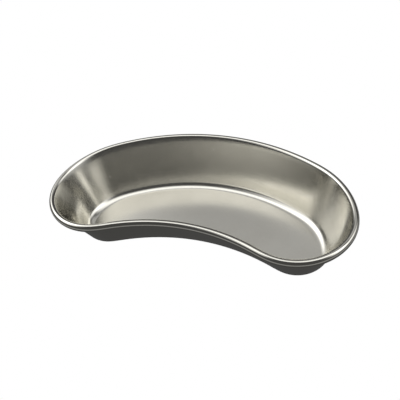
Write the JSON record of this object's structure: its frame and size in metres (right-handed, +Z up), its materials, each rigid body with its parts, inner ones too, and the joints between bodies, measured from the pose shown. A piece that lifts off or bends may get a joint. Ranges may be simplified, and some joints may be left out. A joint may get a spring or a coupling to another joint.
{
  "type": "kidney dish",
  "caption": "Shallow kidney-shaped stainless steel dish with a flat floor, leaning walls and a rolled rim, held against the body to catch fluids or carry instruments and dressings.",
  "frame": {"origin": "on the resting plane, under the middle of the bounding box", "axes": "+X along the length, +Y to the convex side so that the concave waist faces -Y, +Z up out of the bowl"},
  "size_m": [0.1998, 0.0986, 0.0365],
  "materials": {
    "satin_stainless": "satin inside, smoother and brighter on the rolled rim and outside",
    "drawn_wire": "dull drawn wire"
  },
  "bodies": {
    "root": {"dish_shell": "satin_stainless", "rim_wire": "drawn_wire"}
  },
  "joints": []
}
